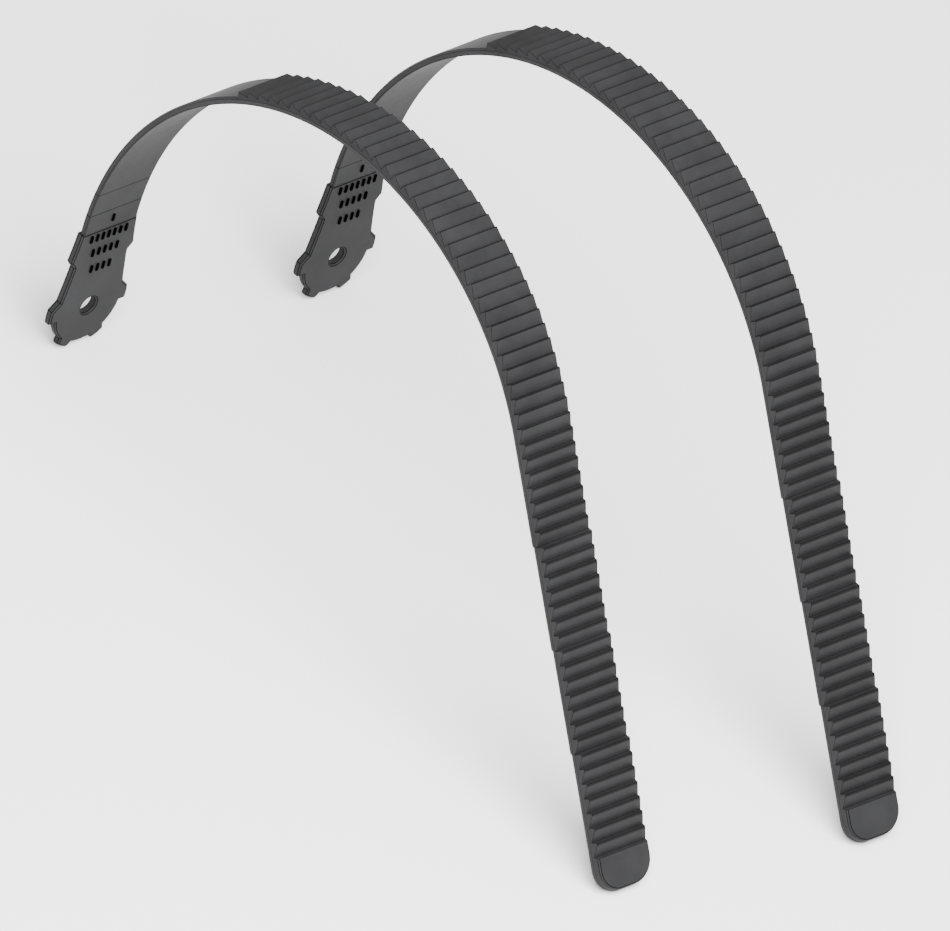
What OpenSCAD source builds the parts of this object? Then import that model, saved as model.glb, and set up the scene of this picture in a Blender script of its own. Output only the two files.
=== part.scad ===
// Pair of moulded ladder straps for ratchet-buckle bindings.
// Each strap is one flexible moulding: a flat pivot head, a smooth shank, a saw-toothed
// ladder and a tip pad. The straps stand as arches, on the lower lugs of the head and on
// the end of the tip. X runs from head to tip, Y runs across the strap, and Z is up.

/* [Strap section] */
// Full width, at the parting line
strap_w = 20.4; // [18:0.1:26]
// Width at the outer face
upper_w = 18.7; // [17:0.1:20]
// Width of the teeth
tooth_w = 18.5; // [16:0.1:18.6]
// Height of the parting line above the inner face
parting_h = 1.5; // [1:0.1:1.8]
// Thickness of the smooth band
band_t = 2.05; // [1.9:0.05:3]

/* [Arch] */
// Inner radius under the ladder
ladder_r = 91.15; // [70:0.05:120]
// Inner radius of the shank, which opens out a little towards the head
shank_r = 93.2; // [92:0.05:110]
// Polar angle where the shank ends at the head
head_a = 184.94; // [182:0.01:188]
// Lean of the head plate from upright
head_tilt = 4.64; // [0:0.01:10]

/* [Ladder] */
// Tooth pitch, along the middle of the band
pitch = 4.3; // [3.5:0.05:5]
// Height of a tooth above the band
tooth_h = 1.45; // [1:0.05:2]
// Lean of the steep face, measured along the strap
steep_run = 0.3; // [0.1:0.05:0.6]
// Size of the crest's rounding
crest_r = 0.3; // [0.1:0.05:0.5]
// Polar angle of the first crest
first_a = 128.5; // [120:0.5:135]
// Teeth on the arch, as a number of pitches
arch_pitches = 34.6; // [30:0.1:38]
// Teeth on the straight run
straight_teeth = 28; // [21:7:35]
// Teeth between two outward steps of the straight run
step_every = 7; // [7:7:14]
// Outward step
step_out = 0.5; // [0:0.1:0.8]
// Extra length at a step
step_along = 0.17; // [0:0.01:0.4]

/* [Tip pad] */
// Length of the pad, from the last crest to the end
pad_l = 11.5; // [9:0.1:20]
// Radius of its corners
pad_r = 7.4; // [4:0.1:9]
// Edge break around its outer face
pad_edge = 0.5; // [0.2:0.1:0.8]

/* [Head plate] */
// Thickness of the plate
head_t = 2.5; // [2.1:0.1:4]
// Distance from the pivot hole up to the shank
head_l = 28.8; // [24:0.1:36]
// Radius of the pivot hole
hole_r = 2.75; // [2:0.05:4]
// Chamfer at each mouth of the pivot hole
hole_chamfer = 0.4; // [0.2:0.1:0.6]
// Radius of the disc around the hole
disc_r = 12.6; // [11:0.1:13]
// Outer radius of the two side lugs
side_lug_r = 14.75; // [14:0.05:17]
// Outer radius of the two lower lugs
lower_lug_r = 14.3; // [13.8:0.1:16]

/* [Pair] */
// Distance between the two straps, across
spacing = 82.6; // [60:0.1:120]
// How far the second strap stands forward
stagger = 14.75; // [0:0.05:30]

/* [Hidden] */
$fn = 180;
overlap = 0.4;
seam = 0.2;
root_h = band_t + 0.03;
rubber = "#4b4b4d";

// angles and places of the path, about the centre of the ladder's arch
mm_to_a = 180 / PI / (ladder_r + band_t - 0.25);
arch_l = arch_pitches * pitch;
arch_end_a = first_a - arch_l * mm_to_a;
crest_lead = steep_run + crest_r;
ladder_a = first_a + crest_lead * mm_to_a;
run_start = ladder_r * [cos(arch_end_a), sin(arch_end_a)];
run_dir = [sin(arch_end_a), -cos(arch_end_a)];
run_out = [cos(arch_end_a), sin(arch_end_a)];
shank_c = (ladder_r - shank_r) * [cos(ladder_a), sin(ladder_a)];

// crests are numbered from the head; the last number is the edge of the pad
arch_teeth = ceil(arch_pitches);
teeth = arch_teeth + straight_teeth;
steps = straight_teeth / step_every - 1;
function steps_before(i) = min(steps, max(0, floor((i - arch_teeth) / step_every)));
function crest_s(i) = i * pitch + steps_before(i) * step_along;
function root_s(i) = crest_s(i) - crest_lead;
function out_at(i) = steps_before(i) * step_out;
pad_start = crest_s(teeth) - arch_l;
pad_out = out_at(teeth);
pad_t = root_h + tooth_h;

// head frame: the hole's place on the inner face, and the tilt of the plate
head_top = shank_c + shank_r * [cos(head_a), sin(head_a)];
hole_at = head_top + head_l * [sin(head_tilt), -cos(head_tilt)];

// lower lugs: the direction they point in, and half widths at two distances from the hole
lug_a = 61.4;
lug_root = [11, 3.2];
lug_end = [15, 2.05];
lug_drop = lower_lug_r * sin(lug_a + 9.3);

// the whole pair stands on z = 0, and is centred over the origin
floor_z = hole_at[1] - lug_drop * cos(head_tilt) - head_t * sin(head_tilt);
low_x = head_top[0] - head_t * cos(head_tilt);
tip_end = run_start + (pad_start + pad_l) * run_dir + (pad_out + parting_h) * run_out;
mid_x = (low_x + tip_end[0] + stagger) / 2;

function polar(r, a) = r * [cos(a), sin(a)];

// cross-section of the band: full width up to the parting line, then a sloped shoulder
module band_section() {
    polygon([
        [0, -strap_w / 2], [parting_h, -strap_w / 2], [band_t, -upper_w / 2],
        [band_t, upper_w / 2], [parting_h, strap_w / 2], [0, strap_w / 2]
    ]);
}

// a stretch of band on an arc, between two polar angles
module band_arc(inner_r, from_a, to_a) {
    rotate([90, 0, 0]) rotate([0, 0, from_a])
        rotate_extrude(angle = to_a - from_a)
            translate([inner_r, 0]) band_section();
}

// lays a body with x along the straight run and z outwards into its place
module on_run() {
    translate([run_start[0], 0, run_start[1]]) rotate([0, 90 - arch_end_a, 0])
        children();
}

// one tooth from its root: the steep face leans, the crest is broken, then the ramp begins
tooth = [[0, 0], [steep_run * 0.8, tooth_h - crest_r], [crest_lead, tooth_h]];

// a place on the arch, and a place on the straight run, by length from the first crest
function on_arch(s, h) = polar(ladder_r + h, first_a - s * mm_to_a);
function beside_arch(s, h) = [s - arch_l, h];

// where the last ramp of the arch crosses over to the run, as a share of its height
last_ramp_h = tooth_h * (root_s(arch_teeth) - arch_l) / (pitch - crest_lead);

// the saw edge of the arch, closed by a line that lies inside the band
module arch_teeth_shape() {
    saw = [
        for (i = [0:arch_teeth - 1]) for (c = tooth) on_arch(root_s(i) + c[0], root_h + c[1])
    ];
    under = [
        for (i = [arch_teeth - 1:-1:0]) on_arch(crest_s(i), band_t - overlap)
    ];
    end = [on_arch(arch_l, root_h + last_ramp_h), on_arch(arch_l, band_t - overlap)];
    polygon(concat(saw, end, under, [on_arch(root_s(0), band_t - overlap)]));
}

module strap_ladder() {
    color(rubber) union() {
        band_arc(ladder_r, arch_end_a, ladder_a);
        rotate([90, 0, 0]) linear_extrude(tooth_w, center = true) arch_teeth_shape();
    }
}

// straight band between two outward steps, each stretch reaching under the next
module run_band(i) {
    from_s = i == 0 ? 0 : root_s(arch_teeth + i * step_every) - arch_l;
    to_s = i == steps ? pad_start : root_s(arch_teeth + (i + 1) * step_every) - arch_l + seam;
    translate([from_s, 0, i * step_out])
        rotate([90, 0, 90]) linear_extrude(to_s - from_s)
            rotate(90) band_section();
}

// the saw edge of the straight run, up to the steep face that the pad begins with
module run_teeth_shape() {
    saw = [
        for (i = [arch_teeth:teeth]) for (c = tooth)
            beside_arch(root_s(i) + c[0], root_h + out_at(i) + c[1])
    ];
    under = [
        for (i = [teeth:-1:arch_teeth]) beside_arch(crest_s(i), band_t + out_at(i) - overlap)
    ];
    start = [[0, band_t - overlap], [0, root_h + last_ramp_h]];
    polygon(concat(saw, under, start));
}

module strap_run() {
    color(rubber) on_run() union() {
        for (i = [0:steps]) run_band(i);
        rotate([90, 0, 0]) linear_extrude(tooth_w, center = true) run_teeth_shape();
    }
}

// half section of the pad, from a line at the given distance inside its edge
module pad_section(reach) {
    inset = (strap_w - upper_w) / 2;
    polygon([
        [0, 0], [reach, 0], [reach, parting_h], [reach - inset, band_t],
        [reach - inset, pad_t - pad_edge], [reach - inset - pad_edge, pad_t], [0, pad_t]
    ]);
}

module pad_bar(reach, l) {
    rotate([90, 0, 90]) linear_extrude(l)
        for (side = [0, 1]) mirror([side, 0]) pad_section(reach);
}

// the pad: a bar along the strap, two round corners, and a short flat end between them
module strap_tip() {
    corner_y = strap_w / 2 - pad_r;
    color(rubber) on_run() translate([pad_start, 0, pad_out]) union() {
        pad_bar(strap_w / 2, pad_l - pad_r);
        for (side = [-1, 1])
            translate([pad_l - pad_r, side * corner_y, 0])
                rotate(-90) rotate_extrude(angle = 180) pad_section(pad_r);
        translate([pad_l - pad_r, corner_y, 0])
            rotate([90, 0, 0]) linear_extrude(2 * corner_y) pad_section(pad_r);
    }
}

module strap_shank() {
    color(rubber)
        translate([shank_c[0], 0, shank_c[1]]) band_arc(shank_r, ladder_a, head_a);
}

// right half of the neck, from the disc up past the waist and the shoulder to the shank
neck = [
    [12.15, 0], [12.1, 5], [10.5, 14.5], [10.45, 16.6], [12, 18.6], [12.15, 19.6],
    [10.7, head_l]
];
side_lug = [[8, -2.3], [16, -2.3], [16, 0.7], [11.9, 5], [8, 5]];

function flipped(side) = [for (p = side) [-p[0], p[1]]];
function both(side) = concat(side, [for (i = [len(side) - 1:-1:0]) flipped(side)[i]]);

// the plate, with the hole at the origin, the shank towards +y and its outer face up
module head_plate() {
    cylinder(r = disc_r, h = head_t);
    linear_extrude(head_t) polygon(both(neck));
    intersection() {
        cylinder(r = side_lug_r, h = head_t);
        linear_extrude(head_t) polygon(side_lug);
    }
    intersection() {
        cylinder(r = side_lug_r, h = head_t);
        linear_extrude(head_t) polygon(flipped(side_lug));
    }
    for (a = [-lug_a, lug_a - 180]) rotate(a) intersection() {
        cylinder(r = lower_lug_r, h = head_t);
        linear_extrude(head_t)
            polygon([lug_root, lug_end, [lug_end[0], -lug_end[1]], [lug_root[0], -lug_root[1]]]);
    }
}

module strap_head() {
    color(rubber)
        translate([hole_at[0], 0, hole_at[1]]) rotate([0, -head_tilt, 0]) rotate([90, 0, -90])
            difference() {
                head_plate();
                translate([0, 0, -1]) cylinder(r = hole_r, h = head_t + 2);
                translate([0, 0, -hole_chamfer])
                    cylinder(r1 = hole_r + 2 * hole_chamfer, r2 = hole_r, h = 2 * hole_chamfer);
                translate([0, 0, head_t - hole_chamfer])
                    cylinder(r1 = hole_r, r2 = hole_r + 2 * hole_chamfer, h = 2 * hole_chamfer);
            }
}

module near() {
    translate([-mid_x, -spacing / 2, -floor_z]) children();
}

module far() {
    translate([stagger - mid_x, spacing / 2, -floor_z]) children();
}

near() strap_head();  // near_head
near() strap_shank();  // near_shank
near() strap_ladder();  // near_ladder
near() strap_run();  // near_run
near() strap_tip();  // near_tip
far() strap_head();  // far_head
far() strap_shank();  // far_shank
far() strap_ladder();  // far_ladder
far() strap_run();  // far_run
far() strap_tip();  // far_tip
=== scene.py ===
# %% [markdown]
# # A pair of ladder straps
# These are the toothed straps that a ratchet buckle pulls tight over a boot. Each one is a
# single flexible moulding: a flat head that a screw goes through, a smooth shank, a long
# saw-toothed ladder and a rounded tip pad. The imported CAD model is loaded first. It is the
# frame that every new piece has to fit, and it carries the bodies that move.

# %% Load the frame
from math import atan2, cos, degrees, hypot, radians, sin
import bpy
from mathutils import Matrix, Vector


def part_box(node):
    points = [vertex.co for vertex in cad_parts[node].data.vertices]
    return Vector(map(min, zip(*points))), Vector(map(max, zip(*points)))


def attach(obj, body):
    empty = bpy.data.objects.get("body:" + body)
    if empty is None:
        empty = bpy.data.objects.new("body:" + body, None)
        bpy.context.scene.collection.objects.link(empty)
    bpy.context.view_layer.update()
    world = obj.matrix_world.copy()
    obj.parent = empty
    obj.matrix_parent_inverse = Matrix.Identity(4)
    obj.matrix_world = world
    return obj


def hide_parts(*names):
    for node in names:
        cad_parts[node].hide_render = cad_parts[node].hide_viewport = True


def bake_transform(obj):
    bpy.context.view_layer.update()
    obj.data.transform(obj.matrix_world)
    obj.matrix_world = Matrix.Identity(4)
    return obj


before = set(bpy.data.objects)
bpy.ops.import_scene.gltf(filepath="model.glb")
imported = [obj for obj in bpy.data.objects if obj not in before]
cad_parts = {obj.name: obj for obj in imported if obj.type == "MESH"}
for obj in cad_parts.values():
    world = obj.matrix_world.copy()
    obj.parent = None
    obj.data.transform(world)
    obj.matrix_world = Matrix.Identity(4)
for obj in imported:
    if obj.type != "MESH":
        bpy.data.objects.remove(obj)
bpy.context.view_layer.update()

# %% [markdown]
# ## The drawing's sizes
# A moulded part is drawn once, in millimetres, and everything else is worked out from that
# drawing. Blender works in metres, so one constant turns the one into the other. The places
# come from the boxes of the CAD parts, so the pieces land where the frame has them.

# %% Sizes of the strap
MM = 0.001
ARCH_R = 91.15      # inner radius under the ladder
SHANK_R = 93.2      # inner radius of the shank
BAND_T = 2.05       # thickness of the smooth band
PARTING = 1.5       # height of the parting line above the inner face
PITCH = 4.3
RISE = 1.45         # height of a tooth
HEAD_T = 2.5
SHOULDER_STEP = 0.5  # outward step after every seventh tooth of the straight run
STEP_ALONG = 0.17

FIRST_CREST = 128.5                                  # polar angle in degrees
TURN = degrees(PITCH / (ARCH_R + BAND_T - 0.25))     # one tooth, in degrees
LEAD = 0.13                                          # root to crest, along the band
ARCH_LENGTH = 34.6 * PITCH
ARCH_END = FIRST_CREST - TURN * 34.6
FIRST_ROOT = FIRST_CREST + TURN * LEAD / PITCH
HEAD_END = 184.94
HEAD_LEAN = 4.64

# %% Places of the near strap
ladder_low, ladder_high = (Vector(c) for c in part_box("near_ladder"))
shank_low, shank_high = (Vector(c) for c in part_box("near_shank"))
far_low, far_high = (Vector(c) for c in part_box("far_ladder"))


def polar(radius, angle):
    """A vector in the strap's own plane, in metres, from a radius in millimetres."""
    return Vector((radius * cos(radians(angle)), 0, radius * sin(radians(angle)))) * MM


shank_shift = polar(ARCH_R - SHANK_R, FIRST_ROOT)
CENTRE = Vector((
    shank_low.x + (SHANK_R + BAND_T) * MM - shank_shift.x,
    (ladder_low.y + ladder_high.y) / 2,
    ladder_high.z - (ARCH_R + BAND_T + RISE) * MM,
))
SHANK_CENTRE = CENTRE + shank_shift
RUN_DIR = polar(1, ARCH_END - 90) / MM
RUN_OUT = polar(1, ARCH_END) / MM
RUN_START = CENTRE + polar(ARCH_R, ARCH_END)
HEAD_TOP = SHANK_CENTRE + polar(SHANK_R, HEAD_END)
HEAD_UP = polar(1, 90 + HEAD_LEAN) / MM
HEAD_OUT = polar(1, 180 + HEAD_LEAN) / MM
HOLE = HEAD_TOP - HEAD_UP * 28.8 * MM
ACROSS = Vector((0, 1, 0))
TO_FAR = far_low - ladder_low
print("arch centre (mm):", [round(c / MM, 2) for c in CENTRE])
print("second strap stands off by (mm):", [round(c / MM, 2) for c in TO_FAR])

# %% [markdown]
# ## The camera
# The straps are seen from above and in front of the tips, with no perspective, as on a
# drawing. An orthographic camera does that: its scale is the width of what it sees.

# %% Camera
VIEW_RIGHT = Vector((0.628, 0.732, 0.264)).normalized()
VIEW_BACK = Vector((0.4581, -0.622, 0.635))
VIEW_BACK = (VIEW_BACK - VIEW_RIGHT * VIEW_BACK.dot(VIEW_RIGHT)).normalized()
VIEW_UP = VIEW_BACK.cross(VIEW_RIGHT)
aim = CENTRE + (VIEW_RIGHT * 42.13 - VIEW_UP * 16.58) * MM
bpy.ops.object.camera_add(location=aim + VIEW_BACK * 0.9)
camera = bpy.context.object
camera.name = "camera"
camera.rotation_euler = Matrix((VIEW_RIGHT, VIEW_UP, VIEW_BACK)).transposed().to_euler()
camera.data.type = "ORTHO"
camera.data.ortho_scale = 0.2665
camera.data.clip_start = 0.01
camera.data.clip_end = 10
bpy.context.scene.camera = camera
print("camera at", [round(c, 3) for c in camera.location])

# %% [markdown]
# ## Small helpers for modelling
# Every edit starts from a clean selection, and then picks vertices, edges or faces by where
# they are. These helpers do only that, so that the modelling cells read as a list of moves.

# %% Selection helpers
NEAR = 0.004 * MM


def start_edit(obj, mode="VERT"):
    if bpy.context.object and bpy.context.object.mode == "EDIT":
        bpy.ops.object.mode_set(mode="OBJECT")
    bpy.ops.object.select_all(action="DESELECT")
    bpy.context.view_layer.objects.active = obj
    obj.select_set(True)
    bpy.ops.object.mode_set(mode="EDIT")
    bpy.ops.mesh.select_mode(type=mode)
    bpy.ops.mesh.select_all(action="DESELECT")


def pick(obj, test, mode="VERT"):
    """Selects what passes the test: vertices by place, edges by both ends, faces by both."""
    start_edit(obj, mode)
    bpy.ops.object.mode_set(mode="OBJECT")
    mesh = obj.data
    if mode == "VERT":
        chosen = [v for v in mesh.vertices if test(v.co)]
    elif mode == "EDGE":
        ends = [[mesh.vertices[i].co for i in e.vertices] for e in mesh.edges]
        chosen = [e for e, (a, b) in zip(mesh.edges, ends) if test(a, b)]
    else:
        chosen = [f for f in mesh.polygons if test(f.center, f.normal)]
    for part in chosen:
        part.select = True
    bpy.ops.object.mode_set(mode="EDIT")
    return len(chosen)


def end_edit():
    bpy.ops.object.mode_set(mode="OBJECT")


def apply_modifiers(obj):
    bpy.ops.object.select_all(action="DESELECT")
    bpy.context.view_layer.objects.active = obj
    obj.select_set(True)
    for name in [m.name for m in obj.modifiers]:
        bpy.ops.object.modifier_apply(modifier=name)


def place(obj, matrix):
    """Puts an object's mesh in place, and leaves the object itself at the origin."""
    obj.matrix_world = matrix
    bpy.ops.object.select_all(action="DESELECT")
    bpy.context.view_layer.objects.active = obj
    obj.select_set(True)
    bpy.ops.object.transform_apply(location=True, rotation=True, scale=True)


def twin(obj, name):
    """A copy with its own mesh."""
    other = obj.copy()
    other.data = obj.data.copy()
    other.name = other.data.name = name
    bpy.context.collection.objects.link(other)
    return other


def join(first, *others):
    bpy.ops.object.select_all(action="DESELECT")
    for obj in (first, *others):
        obj.select_set(True)
    bpy.context.view_layer.objects.active = first
    bpy.ops.object.join()
    return first


def weld(obj, distance):
    start_edit(obj)
    bpy.ops.mesh.select_all(action="SELECT")
    bpy.ops.mesh.remove_doubles(threshold=distance)
    end_edit()


def face_outwards(obj):
    start_edit(obj)
    bpy.ops.mesh.select_all(action="SELECT")
    bpy.ops.mesh.normals_make_consistent(inside=False)
    end_edit()


def plane_axes(origin, x, y, z):
    """The matrix of a drawing plane, from its origin and its three directions."""
    m = Matrix((x, y, z)).transposed().to_4x4()
    m.translation = origin
    return m


# %% [markdown]
# ## The section of the band
# Cut across, the band is a flat bar with eased inner corners, sides that lean out to the
# parting line where the two halves of the mould meet, and sloped shoulders above it. It is
# drawn on a plane primitive: one quad, whose edges are pulled out and narrowed. Only its
# outline is kept, because the band is a tube that this outline is drawn along.

# %% Section outline
def draw_section(name, top_width):
    """Draws the band's outline flat: x is the height above the inner face, y is across."""
    bpy.ops.object.select_all(action="DESELECT")
    bpy.ops.mesh.primitive_plane_add(size=1, location=(0, 0, 0))
    outline = bpy.context.object
    outline.name = name
    outline.scale = (0.25 * MM, 19.7 * MM, 1)
    outline.location = (0.125 * MM, 0, 0)
    bpy.ops.object.transform_apply(location=True, rotation=True, scale=True)
    for height, width in ((0.25, 20.2), (PARTING, 20.4), (BAND_T, top_width)):
        last = max(v.co.x for v in outline.data.vertices)
        edge_y = max(v.co.y for v in outline.data.vertices if v.co.x > last - NEAR)
        if height > 0.25:
            pick(outline, lambda a, b: min(a.x, b.x) > last - NEAR, "EDGE")
            bpy.ops.mesh.extrude_edges_move(
                TRANSFORM_OT_translate={"value": (height * MM - last, 0, 0)})
        else:
            pick(outline, lambda co: co.x > last - NEAR)
        bpy.ops.transform.resize(
            value=(1, width * MM / 2 / edge_y, 1), center_override=(height * MM, 0, 0))
        end_edit()
    pick(outline, lambda centre, normal: True, "FACE")
    bpy.ops.mesh.dissolve_faces()
    bpy.ops.mesh.delete(type="ONLY_FACE")
    end_edit()
    return outline


SHANK_SECTION = draw_section("shank_section", 18.7)
TOOTH_SECTION = draw_section("tooth_section", 19.7)
for outline in (SHANK_SECTION, TOOTH_SECTION):
    print(outline.name, sorted({(round(v.co.x / MM, 2), round(abs(v.co.y) / MM, 2))
                                for v in outline.data.vertices}))


def section_at(outline, name, origin, out):
    """The outline laid at a place: its height goes outwards and its width across."""
    copy = twin(outline, name)
    place(copy, plane_axes(origin, out, ACROSS, out.cross(ACROSS)))
    return copy


# %% [markdown]
# ## The shank
# The shank is smooth and bends a little flatter than the ladder. Spin draws the outline
# round the shank's own centre. Two fine cross lines near the head are where inserts of the
# mould meet; they are narrow rings of their own, which later get the near-black painted shade of
# the edges.

# %% Shank
LINE_ANGLES = [HEAD_END - degrees(6.8 / SHANK_R), HEAD_END - degrees(15.2 / SHANK_R)]
LINE_WIDTH = degrees(0.22 / SHANK_R)


def spin_on(obj, from_angle, to_angle, steps, centre):
    """Draws the outline at one polar angle on to another."""
    out = polar(1, from_angle).normalized()
    side = out.cross(ACROSS)
    pick(obj, lambda co: abs((co - centre).dot(side)) < NEAR and (co - centre).dot(out) > 0)
    bpy.ops.mesh.spin(steps=steps, angle=radians(to_angle - from_angle),
                      center=centre, axis=(0, 1, 0))
    end_edit()


SHANK_END = FIRST_ROOT + 0.08
shank = section_at(SHANK_SECTION, "shank",
                   SHANK_CENTRE + polar(SHANK_R, SHANK_END), polar(1, SHANK_END) / MM)
stops = [SHANK_END]
for angle in reversed(LINE_ANGLES):
    stops += [angle - LINE_WIDTH / 2, angle + LINE_WIDTH / 2]
stops.append(HEAD_END)
for a, b in zip(stops, stops[1:]):
    spin_on(shank, a, b, max(1, round((b - a) / 1.5)), SHANK_CENTRE)
print("shank faces:", len(shank.data.polygons))

# %% [markdown]
# The shank runs on into the head plate as a slightly smaller tongue, so that no gap opens
# between the two meshes and no two faces lie in the same plane.

# %% Tongue into the head
side = (polar(1, HEAD_END) / MM).cross(ACROSS)
pick(shank, lambda co: abs((co - SHANK_CENTRE).dot(side)) < NEAR and co.x < SHANK_CENTRE.x)
bpy.ops.mesh.extrude_edges_move(TRANSFORM_OT_translate={"value": -HEAD_UP * 0.05 * MM})
tongue_centre = HEAD_TOP + HEAD_OUT * BAND_T / 2 * MM
bpy.ops.transform.resize(value=(0.8, 0.97, 1), center_override=tongue_centre)
bpy.ops.mesh.extrude_edges_move(TRANSFORM_OT_translate={"value": -HEAD_UP * 1.5 * MM})
bpy.ops.mesh.edge_face_add()
end_edit()

# %% [markdown]
# ## One tooth
# Each tooth is a wedge: a nearly upright face that the pawl catches, a narrow crest and a
# long ramp. The outline is drawn on by one pitch, and the outer face of that short stretch
# is pulled out by the height of a tooth. Its tip-side edge then slides back until only the
# crest is left of it, so that the wall under that edge becomes the ramp. The sides of the
# mould lean, so the crest is a little narrower than the root.

# %% Tooth from a stretch of band
FACE_LEAN = 0.14      # how far the upright face leans, along the band
CREST_WIDTH = 18.5


def raise_tooth(obj, root, along, out, next_root, next_out, crest):
    """Pulls a tooth out of the outer face between two roots, given on the inner face."""
    middle = (out + next_out).normalized()
    centre = (root + next_root) / 2 + middle * BAND_T * MM
    pick(obj, lambda c, n: abs(n.dot(middle)) > 0.999 and (c - centre).length < 0.3 * MM, "FACE")
    bpy.ops.mesh.extrude_region_move(TRANSFORM_OT_translate={"value": out * RISE * MM})
    bpy.ops.transform.resize(value=(1, CREST_WIDTH / 19.7, 1), center_override=centre)
    end_edit()
    top = root + out * (BAND_T + RISE) * MM
    start = lambda co: (co - top).dot(along)
    level = lambda co: (co - top).dot(out) > -0.3 * MM
    pick(obj, lambda co: level(co) and abs(start(co)) < 0.1 * MM)
    bpy.ops.transform.translate(value=along * FACE_LEAN * MM)
    end_edit()
    far_edge = next_root + next_out * BAND_T * MM + out * RISE * MM
    pick(obj, lambda co: level(co) and start(co) > 2 * MM)
    bpy.ops.transform.translate(value=top + along * (FACE_LEAN + crest) * MM - far_edge)
    end_edit()


# %% [markdown]
# ## The ladder over the arch
# One tooth is enough: an Array modifier whose offset is an empty, turned about the centre
# of the arch by one tooth, lays 35 of them round the arch and welds each to the next.

# %% Arched ladder
ladder = section_at(TOOTH_SECTION, "ladder",
                    CENTRE + polar(ARCH_R, FIRST_ROOT), polar(1, FIRST_ROOT) / MM)
spin_on(ladder, FIRST_ROOT, FIRST_ROOT - TURN, 1, CENTRE)
raise_tooth(
    ladder, CENTRE + polar(ARCH_R, FIRST_ROOT), polar(1, FIRST_ROOT - 90) / MM,
    polar(1, FIRST_ROOT) / MM, CENTRE + polar(ARCH_R, FIRST_ROOT - TURN),
    polar(1, FIRST_ROOT - TURN) / MM, crest=0.34)
print("one tooth:", len(ladder.data.polygons), "faces")

bpy.ops.object.select_all(action="DESELECT")
bpy.ops.object.empty_add()
turner = bpy.context.object
turner.matrix_world = (
    Matrix.Translation(CENTRE) @ Matrix.Rotation(radians(TURN), 4, "Y")
    @ Matrix.Translation(-CENTRE))
ARCH_TEETH = 35
rows = ladder.modifiers.new("teeth", "ARRAY")
rows.count = ARCH_TEETH
rows.use_relative_offset = False
rows.use_object_offset = True
rows.offset_object = turner
rows.use_merge_vertices = True
rows.merge_threshold = 0.01 * MM
apply_modifiers(ladder)
bpy.data.objects.remove(turner)
print("arched ladder:", len(ladder.data.polygons), "faces")

# %% [markdown]
# ## The straight run
# Past the arch the band is straight. Every seven teeth it steps outwards by half a
# millimetre. Seven teeth are one array, and four such groups are a second array, with a
# small gap between groups that is then bridged.

# %% Straight run
EVERY = 7
GROUPS = 4
run_root = RUN_START + RUN_DIR * (ARCH_TEETH * PITCH - LEAD - ARCH_LENGTH) * MM
run = section_at(TOOTH_SECTION, "run", run_root, RUN_OUT)
pick(run, lambda co: True)
bpy.ops.mesh.extrude_edges_move(TRANSFORM_OT_translate={"value": RUN_DIR * PITCH * MM})
end_edit()
raise_tooth(run, run_root, RUN_DIR, RUN_OUT, run_root + RUN_DIR * PITCH * MM, RUN_OUT,
            crest=0.8)
group = run.modifiers.new("group", "ARRAY")
group.count = EVERY
group.use_relative_offset = False
group.use_constant_offset = True
group.constant_offset_displace = RUN_DIR * PITCH * MM
group.use_merge_vertices = True
group.merge_threshold = 0.01 * MM
steps = run.modifiers.new("steps", "ARRAY")
steps.count = GROUPS
steps.use_relative_offset = False
steps.use_constant_offset = True
STEP = (RUN_DIR * (EVERY * PITCH + STEP_ALONG) + RUN_OUT * SHOULDER_STEP) * MM
steps.constant_offset_displace = STEP
apply_modifiers(run)


def ring_test(origin):
    """Picks the edges of an outline that stands across the run at a place."""
    return lambda a, b: all(
        abs((co - origin).dot(RUN_DIR)) < NEAR and abs((co - origin).dot(RUN_OUT)) < 4 * MM
        for co in (a, b))


for k in range(1, GROUPS):
    after = run_root + STEP * k
    before = after - (RUN_DIR * STEP_ALONG + RUN_OUT * SHOULDER_STEP) * MM
    in_after, in_before = ring_test(after), ring_test(before)
    pick(run, lambda a, b: in_after(a, b) or in_before(a, b), "EDGE")
    bpy.ops.mesh.bridge_edge_loops()
    end_edit()
print("straight run:", len(run.data.polygons), "faces")

# %% [markdown]
# ## The tip pad
# The pad is the finger grip and the lead-in for the buckle. It is drawn flat: a plane whose
# two far corners are rounded with a vertex bevel. Inset with a depth then makes each next
# level of its edge, up to the outer face and down to the inner one, so that the shoulder
# keeps an even width all round the end.

# %% Pad drawn flat
LAST_ROOT = run_root + STEP * GROUPS - (RUN_DIR * STEP_ALONG + RUN_OUT * SHOULDER_STEP) * MM
PAD_END = 11.5 + LEAD
PAD_START = 0.36
SPARE = 4


def pad_level(name, height):
    bpy.ops.object.select_all(action="DESELECT")
    bpy.ops.mesh.primitive_plane_add(size=1)
    plan = bpy.context.object
    plan.name = name
    plan.scale = ((PAD_END + SPARE) * MM, 20.4 * MM, 1)
    plan.location = ((PAD_END - SPARE) / 2 * MM, 0, height * MM)
    bpy.ops.object.transform_apply(location=True, rotation=True, scale=True)
    pick(plan, lambda co: co.x > 0)
    bpy.ops.mesh.bevel(offset=7.4 * MM, segments=14, affect="VERTICES")
    end_edit()
    return plan


def shrink(obj, thickness, depth):
    bpy.ops.mesh.inset(thickness=thickness * MM, depth=depth * MM)


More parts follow.
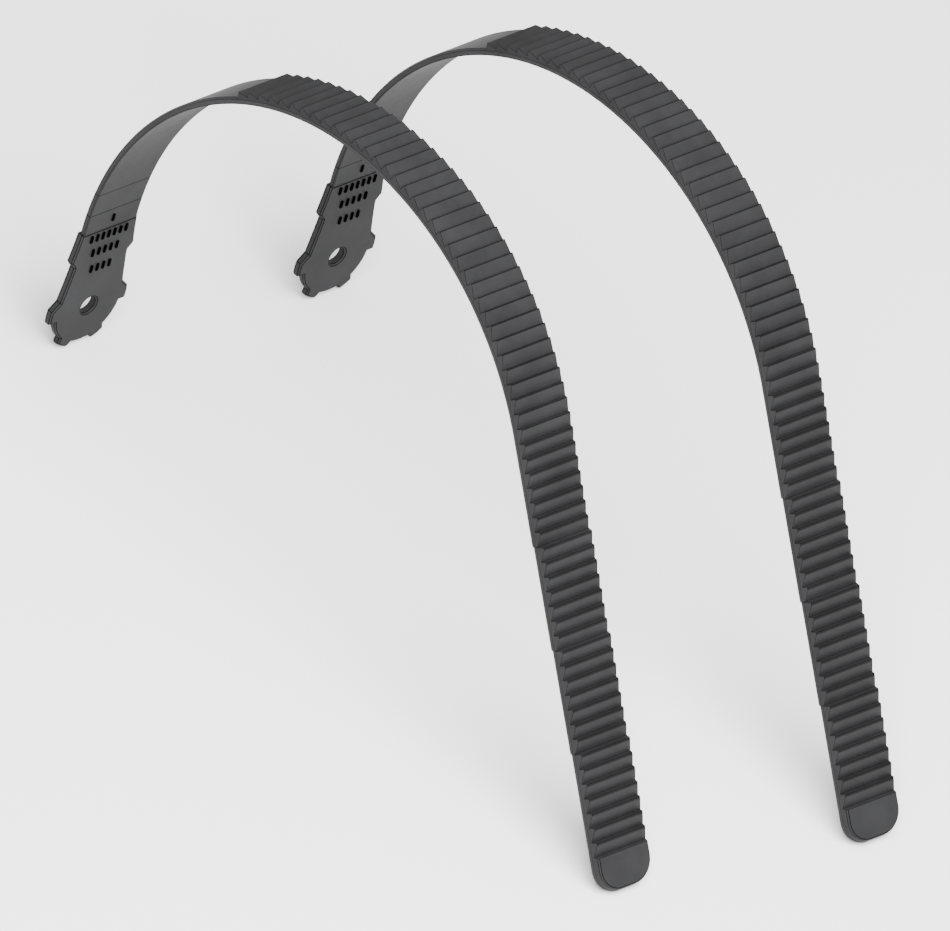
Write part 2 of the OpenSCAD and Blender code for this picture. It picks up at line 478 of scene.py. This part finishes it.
pad = pad_level("pad", PARTING)
pick(pad, lambda c, n: True, "FACE")
PAD_LEVELS = [(0.35, BAND_T - PARTING), (0.25, RISE - 0.6), (0.05, 0.16), (0.14, 0.2),
              (0.18, 0.14), (0.22, 0.08), (0.06, 0.02)]     # inward and upward, each step
for inward, upward in PAD_LEVELS:
    shrink(pad, inward, upward)
end_edit()
under = pad_level("under", PARTING)
pick(under, lambda c, n: True, "FACE")
bpy.ops.mesh.flip_normals()
shrink(under, 0.1, PARTING - 0.25)
shrink(under, 0.25, 0.25)
end_edit()
pad = join(pad, under)
weld(pad, 0.01 * MM)
pick(pad, lambda co: True)
bpy.ops.mesh.bisect(plane_co=(PAD_START * MM, 0, 0), plane_no=(1, 0, 0), clear_inner=True)
end_edit()
place(pad, plane_axes(LAST_ROOT, RUN_DIR, ACROSS, RUN_OUT))
print("pad:", len(pad.data.polygons), "faces")

# %% [markdown]
# ## One band
# Shank, ladder, run and pad are joined and welded into one shell. The narrow gap in front
# of the pad is bridged, and that bridge is the steep face that the pad begins with.

# %% Join the band
bpy.data.objects.remove(SHANK_SECTION)
bpy.data.objects.remove(TOOTH_SECTION)
band = join(shank, ladder, run, pad)
weld(band, 0.05 * MM)
at_root, at_pad = ring_test(LAST_ROOT), ring_test(LAST_ROOT + RUN_DIR * PAD_START * MM)
pick(band, lambda a, b: at_root(a, b) or at_pad(a, b), "EDGE")
bpy.ops.mesh.bridge_edge_loops()
end_edit()


def on_ray(centre, angle):
    side = polar(1, angle - 90).normalized()
    return lambda co: abs((co - centre).dot(side)) < NEAR and (co - centre).z > 0.05


at_shank, at_tooth = on_ray(SHANK_CENTRE, SHANK_END), on_ray(CENTRE, FIRST_ROOT)
pick(band, lambda a, b: (at_shank(a) and at_shank(b)) or (at_tooth(a) and at_tooth(b)), "EDGE")
bpy.ops.mesh.bridge_edge_loops()
end_edit()
face_outwards(band)
start_edit(band, "EDGE")
bpy.ops.mesh.select_non_manifold()
end_edit()
print("band:", len(band.data.polygons), "faces;",
      sum(e.select for e in band.data.edges), "open edges")

# %% [markdown]
# ## The head plate
# The head is a flat plate with the screw's hole in the middle of a disc. Four lugs stop it
# from turning too far: two at the sides and two below. A waist and a shoulder lead up to
# the shank. It is drawn flat with its hole at the origin. Discs cut with bisect make the
# lugs, and a grid whose rows are moved and widened makes the neck. Union joins them.

# %% Parts of the head's plan
PLAN_T = 4.0          # depth of the drawing stock; only its top face is kept
HOLE_R = 2.75


def disc(name, radius, vertices=128):
    bpy.ops.object.select_all(action="DESELECT")
    bpy.ops.mesh.primitive_cylinder_add(
        vertices=vertices, radius=radius * MM, depth=PLAN_T * MM)
    obj = bpy.context.object
    obj.name = name
    return obj


def keep_side(obj, point, away):
    """Cuts off what lies beyond a line, in the direction given, and closes the cut."""
    pick(obj, lambda co: True)
    bpy.ops.mesh.bisect(
        plane_co=(point[0] * MM, point[1] * MM, 0), plane_no=(away[0], away[1], 0),
        use_fill=True, clear_outer=True)
    end_edit()


plan = disc("head", 12.55)
lugs = []
for flip in (1, -1):
    lug = disc("side_lug", 14.72, 192)
    keep_side(lug, (0, -2.3), (0, -1))
    keep_side(lug, (flip * 14.55, 2.2), (flip * 0.7, 0.714))
    keep_side(lug, (flip * 8, 0), (-flip, 0))
    lugs.append(lug)
for angle in (-61.4, -118.6):
    lug = disc("lower_lug", 14.28, 192)
    keep_side(lug, (11, 0), (-1, 0))
    keep_side(lug, (12.28, 2.83), (0.274, 0.962))
    keep_side(lug, (12.28, -2.83), (0.274, -0.962))
    place(lug, Matrix.Rotation(radians(angle), 4, "Z"))
    lugs.append(lug)
print("lugs:", len(lugs))

# %% [markdown]
# The neck narrows from the disc to a waist, where the strap may pass its buckle, and widens
# again to a shoulder below the shank. A grid has one row for each of those widths.

# %% Neck and shoulder
NECK = [(0, 12.1), (5, 12.0), (10, 11.2), (15.4, 10.4), (16.8, 10.35), (18.3, 11.6),
        (18.9, 12.0), (24, 11.2), (28.8, 10.6)]
bpy.ops.object.select_all(action="DESELECT")
bpy.ops.mesh.primitive_grid_add(
    x_subdivisions=1, y_subdivisions=len(NECK) - 1, size=2 * MM, location=(0, 0, -PLAN_T / 2 * MM))
neck = bpy.context.object
neck.name = "neck"
bpy.ops.object.transform_apply(location=True, rotation=True, scale=True)
levels = sorted({round(v.co.y, 7) for v in neck.data.vertices})
for level, (up, half) in sorted(zip(levels, NECK), reverse=True):
    pick(neck, lambda co: abs(co.y - level) < NEAR)
    bpy.ops.transform.translate(value=(0, up * MM - level, 0))
    bpy.ops.transform.resize(value=(half, 1, 1), center_override=(0, up * MM, 0))
    end_edit()
pick(neck, lambda c, n: True, "FACE")
bpy.ops.mesh.extrude_region_move(TRANSFORM_OT_translate={"value": (0, 0, PLAN_T * MM)})
end_edit()
weld(neck, 0.001 * MM)
print("neck is", round(neck.dimensions.x / MM, 1), "by", round(neck.dimensions.y / MM, 1), "mm")

# %% [markdown]
# Joined with Union, the stock gives one solid. Only its top face is kept, dissolved into a
# single face whose rim is the outline of the whole head.

# %% One plan outline
for part in (neck, *lugs):
    union = plan.modifiers.new("union", "BOOLEAN")
    union.operation = "UNION"
    union.solver = "EXACT"
    union.object = part
    apply_modifiers(plan)
    bpy.data.objects.remove(part)
pick(plan, lambda c, n: not (n.z > 0.99 and c.z > 0), "FACE")
bpy.ops.mesh.delete(type="FACE")
end_edit()
pick(plan, lambda c, n: True, "FACE")
bpy.ops.mesh.dissolve_faces()
end_edit()
weld(plan, 0.06 * MM)
print("plan outline:", len(plan.data.vertices), "corners,", len(plan.data.polygons), "face")

# %% [markdown]
# ## Thickness and edges of the head
# The outline is the parting line, 1.8 mm above the inner face. Each half is made from it:
# drawn down or up with a little draft, then inset with a depth, which gives an even edge
# break all round, as on the real moulding.

# %% Head plate
HEAD_PARTING = 1.8


def half_head(obj, levels):
    pick(obj, lambda c, n: True, "FACE")
    for inward, depth in levels:
        shrink(obj, inward, depth)
    end_edit()


plan.location.z = (HEAD_PARTING - PLAN_T / 2) * MM
place(plan, plan.matrix_basis.copy())
inner_half = twin(plan, "inner_half")
start_edit(inner_half)
bpy.ops.mesh.select_all(action="SELECT")
bpy.ops.mesh.flip_normals()
end_edit()
half_head(inner_half, [(0.06, HEAD_PARTING - 0.5), (0.5, 0.5)])
half_head(plan, [(0.25, HEAD_T - HEAD_PARTING - 0.2), (0.25, 0.2)])
head = join(plan, inner_half)
weld(head, 0.01 * MM)
face_outwards(head)
print("head plate:", len(head.data.polygons), "faces,",
      round(head.dimensions.z / MM, 2), "mm thick")

# %% [markdown]
# ## The pivot hole
# The hole is drilled with a Boolean, and its inner rim is chamfered so that the screw's
# shoulder seats. A cut through the middle of the plate keeps each flat face a simple outline
# that does not wrap round the hole.

# %% Pivot hole
RIM_CHAMFER = 0.55
drill = disc("drill", HOLE_R, 64)
hole = head.modifiers.new("hole", "BOOLEAN")
hole.operation = "DIFFERENCE"
hole.solver = "EXACT"
hole.object = drill
drill.scale.z = 3
apply_modifiers(head)
bpy.data.objects.remove(drill)
weld(head, 0.05 * MM)
round_hole = lambda co: abs(hypot(co.x, co.y) - HOLE_R * MM) < 0.02 * MM
pick(head, lambda a, b: round_hole(a) and round_hole(b) and max(a.z, b.z) < NEAR, "EDGE")
bpy.ops.mesh.bevel(offset=RIM_CHAMFER * MM, segments=1)
bpy.ops.mesh.select_all(action="SELECT")
bpy.ops.mesh.bisect(plane_co=(0, 0, 0), plane_no=(1, 0, 0))
end_edit()
print("with the hole:", len(head.data.polygons), "faces")

# %% [markdown]
# ## Raised marks
# The moulding has a few rows of raised marks on the inner face of the head, where the real
# tool's inserts are, and one more above the head's end. Plain upright bars stand for them.
# Each bar is a cube with eased edges, sunk a little into the plate.

# %% Rows of bars
MARK_ROWS = [(26.2, 7, 2.2), (20.7, 5, 2.3), (14.5, 4, 2.3)]   # height, how many, spacing
SHANK_MARK = 32.1


def bar(name, x, y, height=2.6):
    bpy.ops.object.select_all(action="DESELECT")
    bpy.ops.mesh.primitive_cube_add(size=1)
    obj = bpy.context.object
    obj.name = name
    obj.scale = (0.95 * MM, height * MM, 0.6 * MM)
    obj.location = (x * MM, y * MM, -0.02 * MM)
    bpy.ops.object.transform_apply(location=True, rotation=True, scale=True)
    pick(obj, lambda a, b: abs(a.z - b.z) > 0.1 * MM, "EDGE")
    bpy.ops.mesh.bevel(offset=0.3 * MM, segments=3)
    end_edit()
    pick(obj, lambda c, n: n.z < -0.99, "FACE")
    bpy.ops.mesh.inset(thickness=0.08 * MM, depth=0.08 * MM)
    end_edit()
    return obj


bars = []
for up, count, spacing in MARK_ROWS:
    for k in range(count):
        bars.append(bar("bar", (k - (count - 1) / 2) * spacing, up))
shank_bar = bar("bar", 0, SHANK_MARK)
print("raised bars:", len(bars) + 1)

# %% [markdown]
# ## Finishes
# Two small classes keep the finishes readable. One wraps a socket, so that sums on it become
# Math nodes. The other makes a material, adds its other nodes and feeds its shader.

# %% Two classes for shader maths
class Signal:
    """A socket's value. Expressions on it add Math nodes."""

    def __init__(self, tree, socket):
        self.tree = tree
        self.socket = socket

    def maths(self, operation, other=None, swap=False, clamp=False):
        node = self.tree.nodes.new("ShaderNodeMath")
        node.operation = operation
        node.use_clamp = clamp
        pair = [self, other] if not swap else [other, self]
        for slot, value in zip(node.inputs, pair):
            if isinstance(value, Signal):
                self.tree.links.new(value.socket, slot)
            elif value is not None:
                slot.default_value = value
        return Signal(self.tree, node.outputs[0])

    def __add__(self, other):
        return self.maths("ADD", other)

    __radd__ = __add__

    def __sub__(self, other):
        return self.maths("SUBTRACT", other)

    def __rsub__(self, other):
        return self.maths("SUBTRACT", other, swap=True)

    def __mul__(self, other):
        return self.maths("MULTIPLY", other)

    __rmul__ = __mul__

    def __truediv__(self, other):
        return self.maths("DIVIDE", other)


class Finish:
    """A material under construction."""

    def __init__(self, name):
        self.material = bpy.data.materials.new(name)
        self.material.use_nodes = True
        self.tree = self.material.node_tree
        self.shader = self.tree.nodes["Principled BSDF"]

    def node(self, kind, settings=None, output=0, **inputs):
        """Adds a node: settings first, then values or links of its sockets by name."""
        node = self.tree.nodes.new(kind)
        for key, value in (settings or {}).items():
            setattr(node, key, value)
        for key, value in inputs.items():
            self.feed(node.inputs[key.replace("_", " ")], value)
        return Signal(self.tree, node.outputs[output])

    def feed(self, slot, value):
        if isinstance(value, Signal):
            self.tree.links.new(value.socket, slot)
        else:
            slot.default_value = value

    def set(self, **inputs):
        for key, value in inputs.items():
            self.feed(self.shader.inputs[key.replace("_", " ")], value)

    def ramp(self, factor, stops):
        node = self.tree.nodes.new("ShaderNodeValToRGB")
        self.tree.links.new(factor.socket, node.inputs[0])
        while len(node.color_ramp.elements) < len(stops):
            node.color_ramp.elements.new(0.5)
        for element, (at, colour) in zip(node.color_ramp.elements, stops):
            element.position = at
            element.color = (*colour, 1)
        return Signal(self.tree, node.outputs[0])


# %% [markdown]
# ## The elastomer
# The straps are a dark grey elastomer, moulded in a finely etched tool. Three things keep
# it from being one flat colour: faint clouds where the melt cooled unevenly, a fine grain
# from the etched steel, and a roughness that varies a little with both. All three are noise
# in object coordinates, at the sizes that they have on the real surface.

# %% Elastomer finish
def elastomer(name, dark, light, rough, grain, gloss):
    finish = Finish(name)
    place_on = finish.node("ShaderNodeTexCoord", output=3)
    clouds = finish.node("ShaderNodeTexNoise", {"noise_dimensions": "3D"},
                         Vector=place_on, Scale=70.0, Detail=3.0, Roughness=0.55)
    etched = finish.node("ShaderNodeTexNoise", {"noise_dimensions": "3D"},
                         Vector=place_on, Scale=2600.0, Detail=2.0, Roughness=0.6)
    wiped = finish.node("ShaderNodeTexNoise", {"noise_dimensions": "3D"},
                        Vector=place_on, Scale=320.0, Detail=4.0, Roughness=0.6)
    tone = clouds * 0.6 + wiped * 0.25 + etched * 0.15
    finish.set(
        Base_Color=finish.ramp(tone, [(0.3, dark), (0.7, light)]),
        Roughness=wiped * 0.12 + etched * 0.08 + (rough - 0.1),
        Normal=finish.node("ShaderNodeBump", Strength=grain, Distance=0.00004,
                           Height=etched * 0.7 + wiped * 0.3))
    finish.set(Specular_IOR_Level=gloss)
    return finish.material


RUBBER = elastomer("strap_elastomer", (0.012, 0.012, 0.0125), (0.020, 0.020, 0.021),
                   0.55, 0.3, 0.1)
# near-black painted shade for the fine rounding of every sharp edge
EDGE = elastomer("strap_painted_edge_shade", (0.0004,) * 3, (0.001,) * 3, 0.8, 0.1, 0.0)
# painted shade: the crests' flat faces are darker than the ramps
PAINTED_CREST_SHADE = elastomer("strap_painted_crest_shade", (0.003,) * 3, (0.006,) * 3, 0.5, 0.2, 0.08)
print("materials:", RUBBER.name, EDGE.name, PAINTED_CREST_SHADE.name)

# %% [markdown]
# ## Edge lines
# Every sharp edge of a moulding is really a fine rounding. A Bevel modifier makes it on all
# edges over 28 degrees, and gives those narrow faces the second material, a near-black
# painted shade, so that every edge reads as a fine dark line. The narrow crests are painted
# darker with a material of their own, which is painted shade too. Two steps of the pad's edge
# and the two cross lines of the shank get the painted edge shade as well.

# %% Edge lines on each piece
# the steps listed here are painted with the near-black edge shade
PAD_LINES = (2, 5)     # which steps of the pad's edge are lines


def give_finish(obj):
    obj.data.materials.clear()
    for finish in (RUBBER, EDGE, PAINTED_CREST_SHADE):
        obj.data.materials.append(finish)


def edge_lines(obj, width, clamp):
    fine = obj.modifiers.new("edges", "BEVEL")
    fine.width = width * MM
    fine.segments = 2
    fine.limit_method = "ANGLE"
    fine.angle_limit = radians(28)
    # the bevel's faces take the near-black painted edge shade
    fine.material = 1
    fine.use_clamp_overlap = clamp
    apply_modifiers(obj)


for obj in (band, head):
    give_finish(obj)
# the crests' flat faces are painted darker: painted shade
for face in band.data.polygons:
    corners = [band.data.vertices[i].co for i in face.vertices]
    if all(abs(abs(co.y - CENTRE.y) - CREST_WIDTH / 2 * MM) < NEAR for co in corners) \
            and face.area < 20e-6:
        face.material_index = 2
# the shank's two cross lines are painted with the near-black edge shade
on_line = lambda co: any(
    abs(degrees(atan2((co - SHANK_CENTRE).z, (co - SHANK_CENTRE).x)) % 360 - a) < LINE_WIDTH / 2
    for a in LINE_ANGLES)
for face in band.data.polygons:
    if on_line(face.center):
        face.material_index = 1
# two steps of the pad's edge are painted with the near-black edge shade
for step in PAD_LINES:
    below = PARTING + sum(up for inward, up in PAD_LEVELS[:step])
    middle = below + PAD_LEVELS[step][1] / 2
    for face in band.data.polygons:
        spot = (face.center - LAST_ROOT) / MM
        if spot.dot(RUN_DIR) > PAD_START + 0.1 and abs(spot.dot(RUN_OUT) - middle) < 0.03:
            face.material_index = 1
edge_lines(band, 0.19, clamp=True)
edge_lines(head, 0.11, clamp=False)
weld(head, 0.01 * MM)
start_edit(head, "FACE")      # the plate's large flat faces become triangles while they lie flat
bpy.ops.mesh.select_face_by_sides(number=4, type="GREATER")
bpy.ops.mesh.quads_convert_to_tris()
end_edit()
print("band:", len(band.data.polygons), "faces; head:", len(head.data.polygons), "faces")

# %% [markdown]
# The bars take the near-black painted edge shade. Those on the plate are part of the head's mesh.
# The single bar above belongs to the band. Then the head leaves the drawing plane for its place.

# %% Bars join the head
for obj in bars:
    give_finish(obj)
    for face in obj.data.polygons:
        face.material_index = 1
give_finish(shank_bar)
for face in shank_bar.data.polygons:
    face.material_index = 1
head = join(head, *bars)
for obj in (head, shank_bar):
    place(obj, plane_axes(HOLE, HEAD_OUT.cross(HEAD_UP) * -1, HEAD_UP, HEAD_OUT))
band = join(band, shank_bar)

# %% [markdown]
# ## Shading
# Curves shade smooth and flats stay flat. Weighted normals do that: where a large face meets
# a fine rounding, the large face decides the normal, so ramps and plates show no false bend.

# %% Smooth shading
for obj in (band, head):
    bpy.ops.object.select_all(action="DESELECT")
    bpy.context.view_layer.objects.active = obj
    obj.select_set(True)
    bpy.ops.object.shade_smooth_by_angle(angle=radians(32))
    even = obj.modifiers.new("even", "WEIGHTED_NORMAL")
    even.weight = 100
    even.keep_sharp = True
    apply_modifiers(obj)

# %% [markdown]
# ## Both straps, and what they move with
# The second strap is the same moulding. Each head plate rides on its own body. Each band
# crosses the joint in its shank, and only has its transform baked into its mesh.

# %% Two straps
BLEND_DIR = Vector((50, 0, 30)) * MM
far_band, far_head = twin(band, "far_strap_band"), twin(head, "far_strap_head")
band.name, head.name = "near_strap_band", "near_strap_head"
for obj in (far_band, far_head):
    place(obj, Matrix.Translation(TO_FAR))
for side, one_band, one_head in (("near", band, head), ("far", far_band, far_head)):
    start = HEAD_TOP + (TO_FAR if side == "far" else Vector())
    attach(one_head, side + "_base")
    side + "_base"
    side + "_band"
    start + BLEND_DIR
    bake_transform(one_band)
    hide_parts(side + "_head")
    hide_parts(side + "_shank", side + "_ladder", side + "_run", side + "_tip")
    print(one_band.name, len(one_band.data.polygons), "faces")

# %% [markdown]
# ## Floor and light
# A pale floor and soft studio light. The key is a large lamp high above the tips, so that
# ramps and pads are lightest and the sides fall dark. A weak lamp beside the camera lifts
# the inner faces.

# %% Floor
bpy.ops.object.select_all(action="DESELECT")
bpy.ops.mesh.primitive_plane_add(size=8, location=(0, 0, 0))
floor = bpy.context.object
floor.name = "floor"
floor_finish = Finish("floor_paper")
floor_grain = floor_finish.node(
    "ShaderNodeTexNoise", Vector=floor_finish.node("ShaderNodeTexCoord", output=3),
    Scale=3.0, Detail=2.0)
floor_finish.set(
    Base_Color=floor_finish.ramp(floor_grain, [(0.3, (0.93,) * 3), (0.7, (0.95,) * 3)]),
    Roughness=0.9)
floor.data.materials.append(floor_finish.material)

# %% Lamps
def soft_lamp(name, direction, power, size, distance=1.2):
    bpy.ops.object.light_add(type="AREA")
    lamp = bpy.context.object
    lamp.name = name
    lamp.data.size = size
    lamp.data.energy = power
    way = Vector(direction).normalized()
    lamp.location = way * distance + Vector((0, 0, 0.07))
    lamp.rotation_euler = way.to_track_quat("Z", "Y").to_euler()
    return lamp


soft_lamp("key", (0.44, -0.27, 0.86), 64, 1.2)
soft_lamp("view_fill", VIEW_BACK, 6, 1.0)
world = bpy.data.worlds.new("studio")
world.use_nodes = True
world.node_tree.nodes["Background"].inputs["Color"].default_value = (1, 1, 1, 1)
world.node_tree.nodes["Background"].inputs["Strength"].default_value = 1.0
bpy.context.scene.world = world
